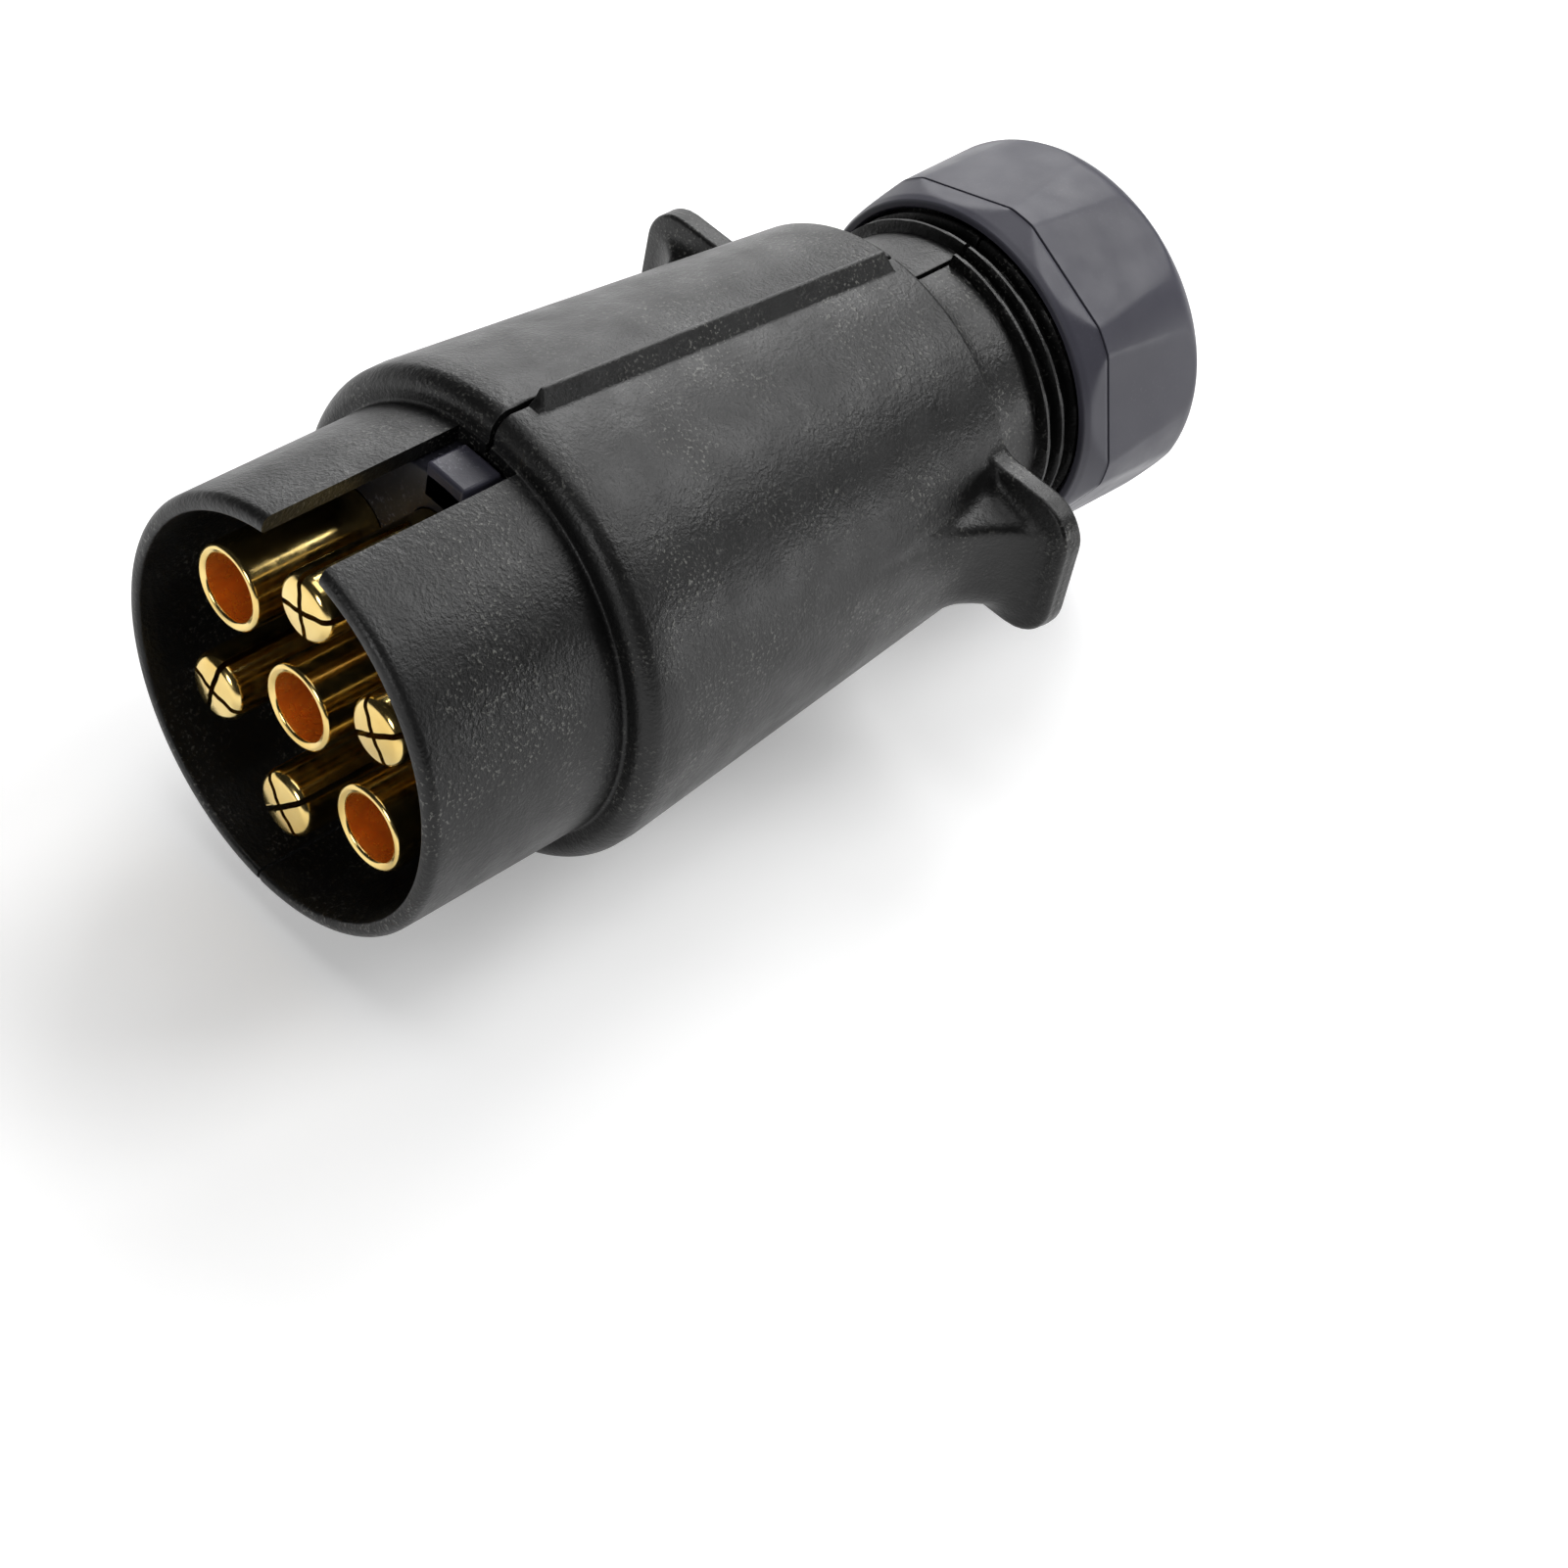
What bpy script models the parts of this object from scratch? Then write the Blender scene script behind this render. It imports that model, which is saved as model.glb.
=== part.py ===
"""Seven-pin round plug for trailer lights, modelled as an assembly of its real pieces.

Frame: metres, +Z up. The plug's axis lies along Y, with the mating rim towards -Y, the
cable end towards +Y and the key slot on top. The origin is under the middle of the plug,
on the surface that its collar rests on.

A "station" is a distance along the axis, measured backwards from the mating rim. Every
object hangs from one empty on the axis at the rim, so that its local Y is its station.
"""
import math

import bmesh
import bpy
from mathutils import Matrix, Vector

MM = 0.001

# ---- driving dimensions -------------------------------------------------------------
GAP = 0.3 * MM                    # free space between pieces that meet
ROUND_STEPS = 40                  # sides of the large turned shapes
SMALL_STEPS = 16                  # sides of the contacts
SCREW_STEPS = 12                  # sides of the screws and small holes

# mating shroud and collar
SHROUD_R = 20.5 * MM
SHROUD_WALL = 1.6 * MM
SHROUD_LENGTH = 21.2 * MM
RIM_CHAMFER = 0.9 * MM
KEY_SLOT_WIDTH = 7.4 * MM
COLLAR_R = 23.45 * MM
COLLAR_LENGTH = 3.4 * MM          # from the collar's front face to its widest place
COLLAR_ROUND = 1.9 * MM
COLLAR_FACE_STEP = 0.2 * MM       # flat part of the collar's front face, beside its round

# tapering body and its two ears
BODY_LENGTH = 49.0 * MM           # from the collar's front face to the body's rear edge
BODY_TAPER = 0.084                # loss of radius along the body, per unit of length
BODY_WALL = 2.4 * MM
BODY_REAR_ROUND = 1.4 * MM
CAVITY_CHAMFER = 3.0 * MM         # at the rear end of the wiring chamber
EAR_SPAN = 56.0 * MM              # over both ears
EAR_HEIGHT = 15.4 * MM
EAR_RISE = 1.0 * MM               # the ears' middle sits this far above the axis
EAR_THICKNESS = 2.4 * MM
EAR_CORNER_R = 3.6 * MM
EAR_SETBACK = 1.1 * MM            # from the body's rear edge to the ears' middle plane
GUSSET_LENGTH = 14.0 * MM
GUSSET_HEIGHT = 6.6 * MM
GUSSET_LIFT = 2.2 * MM            # the ear's lower edge to the gusset's lower side

# seam rib on the right shell
RIB_HEIGHT = 1.55 * MM
RIB_WIDTH = 2.1 * MM
RIB_TOP_WIDTH = 0.5 * MM
RIB_FRONT_INSET = 1.2 * MM        # from the collar's widest place to the rib's front end
RIB_REAR_INSET = 2.2 * MM         # from the rib's rear end to the body's rear edge

# neck with its thread, and the gland nut
NECK_R = 15.0 * MM                # also the root of its thread
SHOULDER_LENGTH = 5.2 * MM
NECK_LENGTH = 2.8 * MM            # smooth neck between the shoulder and the thread
NECK_BORE_R = 11.8 * MM
NECK_END_CHAMFER = 0.8 * MM
CABLE_WAY_STEP = 2.0 * MM         # the neck's bore to the narrower way in front of it
THREAD_DEPTH = 1.1 * MM
THREAD_PITCH = 2.0 * MM
THREAD_LENGTH = 10.5 * MM
RIDGE_BASE = 1.1 * MM             # width of a thread ridge where it leaves its cylinder
RIDGE_SLOPE = 0.32                # how fast each flank leans in, per unit of height
RIDGE_FOOT = 0.3 * MM             # how deep a ridge is rooted in its cylinder
NUT_APOTHEM = 17.6 * MM           # half the distance across its flats
NUT_CORNER_R = 18.5 * MM          # the turned radius left at its corners
NUT_FRONT_R = 17.4 * MM
NUT_CHAMFER_LENGTH = 3.1 * MM
NUT_LENGTH = 17.1 * MM
NUT_WALL = 3.8 * MM               # thickness of the nut's rear wall
NUT_REAR_ROUND = 3.0 * MM
NUT_THREAD_LENGTH = 8.0 * MM
NUT_OPENING_R = 7.2 * MM
NUT_THREAD_INSET = 1.4 * MM       # the nut's front face to its thread
NUT_CHAMBER_STEP = 0.9 * MM       # the thread's root to the smooth bore behind it
NUT_SIDES = 8
NUT_TURN = math.radians(17.3)     # where one flat faces when the nut is as drawn
NUT_TRAVEL_ON = 5.0 * MM          # how far the nut can still be screwed forwards

# seal and its washer
GROMMET_LENGTH = 12.0 * MM
GROMMET_NOSE = 3.0 * MM
GROMMET_NOSE_DROP = 1.6 * MM
CABLE_R = 4.75 * MM
RING_THICKNESS = 2.0 * MM
RING_BORE_R = 5.95 * MM

# contact carrier and contacts
CARRIER_DEPTH = 16.3 * MM         # the rim to the carrier's front face
CARRIER_FLANGE_LENGTH = 3.4 * MM
CARRIER_FLANGE_STEP = 1.9 * MM
CARRIER_FLANGE_INSET = 1.5 * MM   # from the collar's front face to the flange
CARRIER_REAR_LENGTH = 4.0 * MM
CARRIER_REAR_STEP = 0.6 * MM
KEY_BLOCK_WIDTH = 4.3 * MM
KEY_BLOCK_TOP = 19.1 * MM
CONTACT_RING_R = 11.77 * MM
TUBE_R = 4.14 * MM
TUBE_BORE_R = 3.25 * MM
TUBE_DEPTH = 15.0 * MM
TUBE_TIP = 2.4 * MM               # the rim to the tubes' mouths
PIN_R = 3.25 * MM
PIN_TIP = 1.7 * MM                # the rim to the pins' ends
PIN_TIP_BEVEL = 0.9 * MM
PIN_SLIT_WIDTH = 0.55 * MM
PIN_SLIT_DEPTH = 12.0 * MM
TERMINAL_R = 3.7 * MM
TERMINAL_LENGTH = 11.0 * MM
CENTRE_TERMINAL_EXTRA = 9.0 * MM  # the middle contact's screw sits behind the others
WIRE_HOLE_R = 1.9 * MM
WIRE_HOLE_DEPTH = 8.0 * MM
SEAT_RING_R = 4.9 * MM
SEAT_RING_THICKNESS = 1.4 * MM
SCREW_R = 1.35 * MM
SCREW_HEAD_R = 2.3 * MM
SCREW_HEAD_HEIGHT = 1.4 * MM
SCREW_STANDOFF = 0.8 * MM         # open space under the head when partly tightened
SCREW_SLOT = 0.7 * MM
SCREW_TIP = 0.9 * MM              # from its contact's axis, when tightened half way

# joining pegs between the two shells
PEG_BOSS_R = 2.4 * MM
PEG_R = 1.1 * MM
PEG_LENGTH = 3.0 * MM
PEG_BEHIND_COLLAR = 37.0 * MM
PEG_SINK = 0.4 * MM               # how deep a boss is rooted in its shell's wall

# ---- derived stations and radii -------------------------------------------------------
SHROUD_BORE_R = SHROUD_R - SHROUD_WALL
COLLAR_Y = SHROUD_LENGTH
CREST_Y = COLLAR_Y + COLLAR_LENGTH
BODY_REAR_Y = COLLAR_Y + BODY_LENGTH
NECK_Y = BODY_REAR_Y + SHOULDER_LENGTH
THREAD_Y = NECK_Y + NECK_LENGTH
NECK_END_Y = THREAD_Y + THREAD_LENGTH
THREAD_CREST_R = NECK_R + THREAD_DEPTH

CARRIER_FLANGE_Y = COLLAR_Y + CARRIER_FLANGE_INSET
CARRIER_R = SHROUD_BORE_R - GAP
CARRIER_FLANGE_R = CARRIER_R + CARRIER_FLANGE_STEP
CARRIER_REAR_Y = CARRIER_FLANGE_Y + CARRIER_FLANGE_LENGTH
CARRIER_REAR_R = CARRIER_R - CARRIER_REAR_STEP
CARRIER_END_Y = CARRIER_REAR_Y + CARRIER_REAR_LENGTH

RING_CLEARANCE = 0.5 * MM         # the washer to the neck's end, with the nut fully on
RING_Y = NECK_END_Y + NUT_TRAVEL_ON + RING_CLEARANCE
NUT_INNER_END_Y = RING_Y + RING_THICKNESS + GAP
NUT_REAR_Y = NUT_INNER_END_Y + NUT_WALL
NUT_Y = NUT_REAR_Y - NUT_LENGTH
NUT_THREAD_Y = NUT_Y + NUT_THREAD_INSET
NUT_THREAD_END_Y = NUT_THREAD_Y + NUT_THREAD_LENGTH
NUT_BORE_R = THREAD_CREST_R + GAP
NUT_CHAMBER_R = NUT_BORE_R - NUT_CHAMBER_STEP
RING_R = NUT_CHAMBER_R - 2 * GAP
GROMMET_R = NECK_BORE_R - 1.3 * GAP
GROMMET_END_Y = RING_Y - GAP
GROMMET_Y = GROMMET_END_Y - GROMMET_LENGTH
NECK_SEAT_Y = GROMMET_Y - NUT_TRAVEL_ON - 2 * GAP
CABLE_WAY_R = NECK_BORE_R - CABLE_WAY_STEP

LENGTH = NUT_REAR_Y
MAIN_COLLECTION = "trailer_plug"
CUTTER_COLLECTION = "cutters"

# Directions of the contacts seen from the front, from +X towards +Z, and the turn of
# each split pin's cross slits about its own axis.
TUBE_ANGLES = (150, -30)
PIN_ANGLES = (90, 30, -90, -150)
PIN_SLIT_TURNS = (15, 35, 46, -10)


# ---- scene, collections and materials ---------------------------------------------------
def start_scene():
    for obj in list(bpy.data.objects):
        bpy.data.objects.remove(obj, do_unlink=True)
    for name in (MAIN_COLLECTION, CUTTER_COLLECTION):
        collection = bpy.data.collections.new(name)
        bpy.context.scene.collection.children.link(collection)
    axis = bpy.data.objects.new("plug_axis", None)
    axis.location = (0.0, -LENGTH / 2, COLLAR_R)
    bpy.data.collections[MAIN_COLLECTION].objects.link(axis)


def make_material(name, colour, roughness, metallic=0.0):
    material = bpy.data.materials.new(name)
    material.use_nodes = True
    shader = material.node_tree.nodes["Principled BSDF"]
    shader.inputs["Base Color"].default_value = (*colour, 1.0)
    shader.inputs["Roughness"].default_value = roughness
    shader.inputs["Metallic"].default_value = metallic
    return material


def add_object(name, mesh, location=(0.0, 0.0, 0.0), cutter=False):
    obj = bpy.data.objects.new(name, mesh)
    collection = CUTTER_COLLECTION if cutter else MAIN_COLLECTION
    bpy.data.collections[collection].objects.link(obj)
    obj.parent = bpy.data.objects["plug_axis"]
    obj.location = location
    if cutter:
        obj.hide_render = True
        obj.display_type = "WIRE"
    return obj


def finish(obj, material, sharp_angle=35):
    """Give a finished piece its material, and shade its round faces smooth."""
    obj.data.materials.clear()
    obj.data.materials.append(material)
    obj.data.shade_smooth()
    obj.data.set_sharp_from_angle(angle=math.radians(sharp_angle))
    return obj


# ---- modelling tools ----------------------------------------------------------------------
def signed_area(profile):
    ends = profile[1:] + profile[:1]
    return sum(a[0] * b[1] - b[0] * a[1] for a, b in zip(profile, ends)) / 2


def turned(name, profile, steps=ROUND_STEPS, location=(0.0, 0.0, 0.0), cutter=False,
           pitch=0.0, turns=1, start_angle=0.0):
    """Turn a closed outline of (radius, station) points about the Y axis.

    With a pitch it becomes a right-hand helical ridge, which is closed at its two ends.
    An outline that touches the axis is left open there.
    """
    outline = list(profile)
    if signed_area(outline) < 0:
        outline.reverse()
    on_axis = [i for i, (radius, _) in enumerate(outline) if radius < 1e-9]
    if on_axis:
        first = max(on_axis) if max(on_axis) - min(on_axis) == 1 else 0
        outline = outline[first:] + outline[:first]
    bm = bmesh.new()
    turn = Matrix.Rotation(start_angle, 4, "Y")
    verts = [bm.verts.new(turn @ Vector((r, y, 0.0))) for r, y in outline]
    for a, b in zip(verts, verts[1:]):
        bm.edges.new((a, b))
    if not on_axis:
        bm.edges.new((verts[-1], verts[0]))
    mesh = bpy.data.meshes.new(name)
    bm.to_mesh(mesh)
    bm.free()
    obj = add_object(name, mesh, location, cutter)
    screw = obj.modifiers.new("turn", "SCREW")
    screw.axis = "Y"
    screw.steps = steps
    screw.render_steps = steps
    screw.screw_offset = pitch
    screw.iterations = turns
    screw.use_merge_vertices = pitch == 0.0
    screw.merge_threshold = 0.00001
    screw.use_normal_calculate = False
    freeze(obj)
    close_outward(obj.data)
    return obj


def freeze(obj):
    """Replace an object's mesh by what its modifiers make of it."""
    bpy.context.view_layer.update()
    graph = bpy.context.evaluated_depsgraph_get()
    mesh = bpy.data.meshes.new_from_object(obj.evaluated_get(graph))
    obj.modifiers.clear()
    obj.data = mesh
    return obj


def close_outward(mesh):
    """Cap the open ends of a mesh and turn its faces outwards."""
    bm = bmesh.new()
    bm.from_mesh(mesh)
    open_edges = [edge for edge in bm.edges if edge.is_boundary]
    if open_edges:
        bmesh.ops.holes_fill(bm, edges=open_edges)
    bmesh.ops.recalc_face_normals(bm, faces=bm.faces)
    bm.to_mesh(mesh)
    bm.free()


def box(name, low, high, cutter=True):
    """A box between two corners, given in the plug's own axes."""
    bm = bmesh.new()
    bmesh.ops.create_cube(bm, size=1.0)
    size = [b - a for a, b in zip(low, high)]
    middle = [(a + b) / 2 for a, b in zip(low, high)]
    bmesh.ops.scale(bm, vec=size, verts=bm.verts)
    bmesh.ops.translate(bm, vec=middle, verts=bm.verts)
    mesh = bpy.data.meshes.new(name)
    bm.to_mesh(mesh)
    bm.free()
    return add_object(name, mesh, cutter=cutter)


def rod(name, start, direction, length, radius, steps=SCREW_STEPS, cutter=True):
    """A plain cylinder from a start point along a direction."""
    bm = bmesh.new()
    bmesh.ops.create_cone(bm, cap_ends=True, segments=steps, radius1=radius,
                          radius2=radius, depth=length)
    bmesh.ops.translate(bm, vec=(0, 0, length / 2), verts=bm.verts)
    turn = Vector(direction).to_track_quat("Z", "Y").to_matrix()
    bmesh.ops.rotate(bm, cent=(0, 0, 0), matrix=turn, verts=bm.verts)
    bmesh.ops.translate(bm, vec=start, verts=bm.verts)
    mesh = bpy.data.meshes.new(name)
    bm.to_mesh(mesh)
    bm.free()
    return add_object(name, mesh, cutter=cutter)


def plate(name, outline, thickness, placement):
    """Extrude a flat outline to both sides of its plane, then place it."""
    curve = bpy.data.curves.new(name, "CURVE")
    curve.dimensions = "2D"
    curve.fill_mode = "BOTH"
    curve.extrude = thickness / 2
    spline = curve.splines.new("POLY")
    spline.points.add(len(outline) - 1)
    for point, (u, v) in zip(spline.points, outline):
        point.co = (u, v, 0.0, 1.0)
    spline.use_cyclic_u = True
    drawn = bpy.data.objects.new(name + "_outline", curve)
    bpy.data.collections[CUTTER_COLLECTION].objects.link(drawn)
    graph = bpy.context.evaluated_depsgraph_get()
    mesh = bpy.data.meshes.new_from_object(drawn.evaluated_get(graph))
    bpy.data.objects.remove(drawn)
    bm = bmesh.new()
    bm.from_mesh(mesh)
    bmesh.ops.remove_doubles(bm, verts=bm.verts, dist=0.001 * MM)
    bmesh.ops.transform(bm, matrix=placement, verts=bm.verts)
    bmesh.ops.recalc_face_normals(bm, faces=bm.faces)
    bm.to_mesh(mesh)
    bm.free()
    return add_object(name, mesh, cutter=True)


def combine(obj, other, operation):
    """Boolean a piece with another and keep the result."""
    boolean = obj.modifiers.new(operation.lower(), "BOOLEAN")
    boolean.object = other
    boolean.operation = operation
    boolean.solver = "EXACT"
    return freeze(obj)


def cut(obj, *cutters):
    for cutter in cutters:
        combine(obj, cutter, "DIFFERENCE")
    return obj


def join(obj, *others):
    for other in others:
        combine(obj, other, "UNION")
    return obj


def copy_of(obj, name):
    return add_object(name, obj.data.copy())


def arc(centre, radius, first, last, count):
    """Points on a circle from one angle to another, in degrees."""
    angles = [math.radians(first + (last - first) * i / count) for i in range(count + 1)]
    return [(centre[0] + radius * math.cos(a), centre[1] + radius * math.sin(a)) for a in angles]


def polar(angle, radius):
    """The X and Z of a direction seen from the front."""
    return radius * math.cos(math.radians(angle)), radius * math.sin(math.radians(angle))


# ---- the two shells ---------------------------------------------------------------------------
def body_radius(station):
    """Outside radius of the tapering body."""
    return COLLAR_R - BODY_TAPER * (station - CREST_Y)


def shell_outline():
    """Half section of both shells together, as (radius, station) points."""
    round_centre = (COLLAR_R - COLLAR_ROUND, COLLAR_Y + COLLAR_ROUND + COLLAR_FACE_STEP)
    rear_r = body_radius(BODY_REAR_Y)
    groove_r = CARRIER_FLANGE_R + GAP
    lip_r = CARRIER_REAR_R + 2 * GAP
    lip_y = CARRIER_REAR_Y + GAP
    lip_end_y = CARRIER_END_Y + GAP
    cavity_end_y = BODY_REAR_Y - BODY_WALL
    outer = [
        (SHROUD_R - RIM_CHAMFER, 0.0),
        (SHROUD_R - 0.25 * RIM_CHAMFER, 0.4 * RIM_CHAMFER),
        (SHROUD_R, RIM_CHAMFER + 0.2 * MM),
        (SHROUD_R, COLLAR_Y),
        *arc(round_centre, COLLAR_ROUND, -75, -8, 4),
        (COLLAR_R, CREST_Y),
        (body_radius(BODY_REAR_Y - BODY_REAR_ROUND), BODY_REAR_Y - BODY_REAR_ROUND),
        (rear_r - 0.35 * BODY_REAR_ROUND, BODY_REAR_Y - 0.3 * BODY_REAR_ROUND),
        (rear_r - BODY_REAR_ROUND, BODY_REAR_Y),
    ]
    shoulder_start = outer[-1]
    drop = shoulder_start[0] - NECK_R
    for i in range(1, 5):
        share = i / 4
        outer.append((shoulder_start[0] - drop * math.sin(share * math.pi / 2),
                      BODY_REAR_Y + SHOULDER_LENGTH * share))
    outer += [
        (NECK_R, NECK_END_Y - NECK_END_CHAMFER),
        (NECK_R - NECK_END_CHAMFER, NECK_END_Y),
    ]
    inner = [
        (NECK_BORE_R, NECK_END_Y),
        (NECK_BORE_R, NECK_SEAT_Y),
        (CABLE_WAY_R, NECK_SEAT_Y - CABLE_WAY_STEP / 2),
        (CABLE_WAY_R, NECK_Y - CABLE_WAY_STEP / 2),
        (body_radius(cavity_end_y) - 1.6 * BODY_WALL, cavity_end_y),
        (body_radius(cavity_end_y - CAVITY_CHAMFER) - BODY_WALL, cavity_end_y - CAVITY_CHAMFER),
        (body_radius(lip_end_y) - BODY_WALL, lip_end_y),
        (lip_r, lip_end_y),
        (lip_r, lip_y),
        (groove_r, lip_y),
        (groove_r, CARRIER_FLANGE_Y - GAP),
        (SHROUD_BORE_R, CARRIER_FLANGE_Y - GAP),
        (SHROUD_BORE_R, 0.0),
    ]
    return outer + inner


def thread_ridge(name, base_r, crest_r, start, length, shift):
    """A right-hand helical ridge that stands on base_r; shift is a share of one pitch."""
    outwards = 1 if crest_r > base_r else -1
    foot_half = RIDGE_BASE / 2 + RIDGE_FOOT * RIDGE_SLOPE
    crest_half = RIDGE_BASE / 2 - THREAD_DEPTH * RIDGE_SLOPE
    foot_r = base_r - outwards * RIDGE_FOOT
    turns = int(length / THREAD_PITCH) - 1
    middle = start + THREAD_PITCH * (0.5 + shift)
    outline = [
        (foot_r, middle - foot_half),
        (crest_r, middle - crest_half),
        (crest_r, middle + crest_half),
        (foot_r, middle + foot_half),
    ]
    return turned(name, outline, pitch=THREAD_PITCH, turns=turns, cutter=True,
                  start_angle=-math.pi / 2)


def rounded_plate_outline(half_width, half_height, corner_r):
    points = []
    for quarter, (sx, sy) in enumerate(((1, 1), (-1, 1), (-1, -1), (1, -1))):
        centre = (sx * (half_width - corner_r), sy * (half_height - corner_r))
        points += arc(centre, corner_r, 90 * quarter, 90 * quarter + 90, 5)
    return points


def ears():
    """Both finger ears as one wide plate behind the body, with their gussets."""
    middle_y = BODY_REAR_Y - EAR_SETBACK
    outline = rounded_plate_outline(EAR_SPAN / 2, EAR_HEIGHT / 2, EAR_CORNER_R)
    upright = Matrix.Translation((0, middle_y, EAR_RISE)) @ Matrix.Rotation(math.pi / 2, 4, "X")
    return plate("ear_plate", outline, EAR_THICKNESS, upright)


def gusset(side):
    """The hollow-fronted web that carries one ear, drawn in plan and extruded upwards."""
    end_y = BODY_REAR_Y - EAR_SETBACK
    start_y = end_y - GUSSET_LENGTH
    root_x = body_radius(start_y) - 1.0 * MM
    reach = EAR_SPAN / 2 - EAR_CORNER_R - root_x
    outline = [(root_x - 4 * MM, end_y), (root_x - 4 * MM, start_y), (root_x, start_y)]
    for i in range(1, 7):
        share = i / 6
        rise = 0.12 * share + 0.88 * share ** 3.2
        outline.append((root_x + reach * rise, start_y + GUSSET_LENGTH * share))
    outline = [(side * x, y) for x, y in outline]
    if side < 0:
        outline.reverse()
    lift = EAR_RISE - EAR_HEIGHT / 2 + GUSSET_HEIGHT / 2 + GUSSET_LIFT
    return plate("gusset", outline, GUSSET_HEIGHT, Matrix.Translation((0, 0, lift)))


def ear_clearance():
    """What the ears leave free: all that lies inside the middle of the body's wall."""
    front = BODY_REAR_Y - 2 * GUSSET_LENGTH
    back = BODY_REAR_Y + MM
    outline = [(0.0, front), (body_radius(front) - BODY_WALL / 2, front),
               (body_radius(back) - BODY_WALL / 2, back), (0.0, back)]
    return turned("ear_clearance", outline, cutter=True)


def seam_rib():
    """The raised wedge beside the top seam: upright on the seam side, sloping outside."""
    start = CREST_Y + RIB_FRONT_INSET
    end = BODY_REAR_Y - RIB_REAR_INSET
    sink = 1.5 * MM
    outline = [
        (start - 0.8 * MM, body_radius(start) - sink),
        (end + 1.6 * MM, body_radius(end) - sink),
        (end, body_radius(end) + RIB_HEIGHT),
        (start, body_radius(start) + RIB_HEIGHT),
    ]
    overlap = MM                  # past the seam plane, where the shell's cut trims it
    middle_x = (RIB_WIDTH - overlap) / 2
    stand = Matrix(((0, 0, 1, middle_x), (1, 0, 0, 0), (0, 1, 0, 0), (0, 0, 0, 1)))
    rib = plate("seam_rib", outline, RIB_WIDTH + overlap, stand)
    slope = math.atan2(RIB_HEIGHT + 0.4 * MM, RIB_WIDTH - RIB_TOP_WIDTH)
    fall = math.atan(BODY_TAPER)
    cutter = box("rib_slope", (-3 * MM, -10 * MM, 0), (8 * MM, end - start + 20 * MM, 5 * MM))
    top = Vector((RIB_TOP_WIDTH, start, body_radius(start) + RIB_HEIGHT))
    turn = Matrix.Rotation(-fall, 4, "X") @ Matrix.Rotation(slope, 4, "Y")
    cutter.data.transform(Matrix.Translation(top) @ turn)
    return cut(rib, cutter)


def peg_places():
    """Height of the two pegs above and below the axis, and their station."""
    station = COLLAR_Y + PEG_BEHIND_COLLAR
    height = body_radius(station) - BODY_WALL - PEG_BOSS_R + PEG_SINK
    return station, (height, -height)


def add_pegs(shell, side):
    """Bosses inside the shell; the left one carries pegs, the right one their holes."""
    station, heights = peg_places()
    outer_r = body_radius(station) - PEG_SINK
    for height in heights:
        reach = math.sqrt(outer_r ** 2 - (abs(height) + PEG_BOSS_R) ** 2)
        start = (side * GAP / 2, station, height)
        boss = rod("peg_boss", start, (side, 0, 0), reach - GAP / 2, PEG_BOSS_R)
        join(shell, boss)
        if side < 0:
            peg = rod("peg", (-2 * MM, station, height), (1, 0, 0), PEG_LENGTH + 2 * MM, PEG_R)
            join(shell, peg)
        else:
            depth = PEG_LENGTH + 2 * GAP
            hole = rod("peg_hole", (-MM, station, height), (1, 0, 0), depth + MM, PEG_R + GAP)
            cut(shell, hole)
    return shell


def make_shells(plastic):
    whole = turned("shell_blank", shell_outline(), cutter=True)
    thread = thread_ridge("neck_thread", NECK_R, THREAD_CREST_R, THREAD_Y, THREAD_LENGTH, 0.0)
    join(whole, thread)
    wings = ears()
    for side in (-1, 1):
        join(wings, gusset(side))
    join(whole, cut(wings, ear_clearance()))
    half = KEY_SLOT_WIDTH / 2
    slot = box("key_slot", (-half, -MM, 0), (half, COLLAR_Y - GAP, SHROUD_R + MM))
    cut(whole, slot)
    far = 2 * LENGTH
    for name, side in (("shell_left", -1), ("shell_right", 1)):
        shell = copy_of(whole, name)
        if side > 0:
            join(shell, seam_rib())
        low_x = GAP / 2 if side > 0 else -far
        high_x = far if side > 0 else -GAP / 2
        keep = box("keep_" + name, (low_x, -far, -far), (high_x, far, far))
        combine(shell, keep, "INTERSECT")
        finish(add_pegs(shell, side), plastic)


# ---- carrier and contacts -------------------------------------------------------------------------
def contact_places():
    """(name, x, z, screw direction, slit turn) of all seven contacts."""
    places = [("tube_contact_centre", 0.0, 0.0, (0, 0, 1), None)]
    for number, angle in enumerate(TUBE_ANGLES, start=1):
        x, z = polar(angle, CONTACT_RING_R)
        outward = (x / CONTACT_RING_R, 0, z / CONTACT_RING_R)
        places.append((f"tube_contact_{number}", x, z, outward, None))
    for number, (angle, turn) in enumerate(zip(PIN_ANGLES, PIN_SLIT_TURNS), start=1):
        x, z = polar(angle, CONTACT_RING_R)
        outward = (x / CONTACT_RING_R, 0, z / CONTACT_RING_R)
        places.append((f"split_pin_{number}", x, z, outward, turn))
    return places


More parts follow.
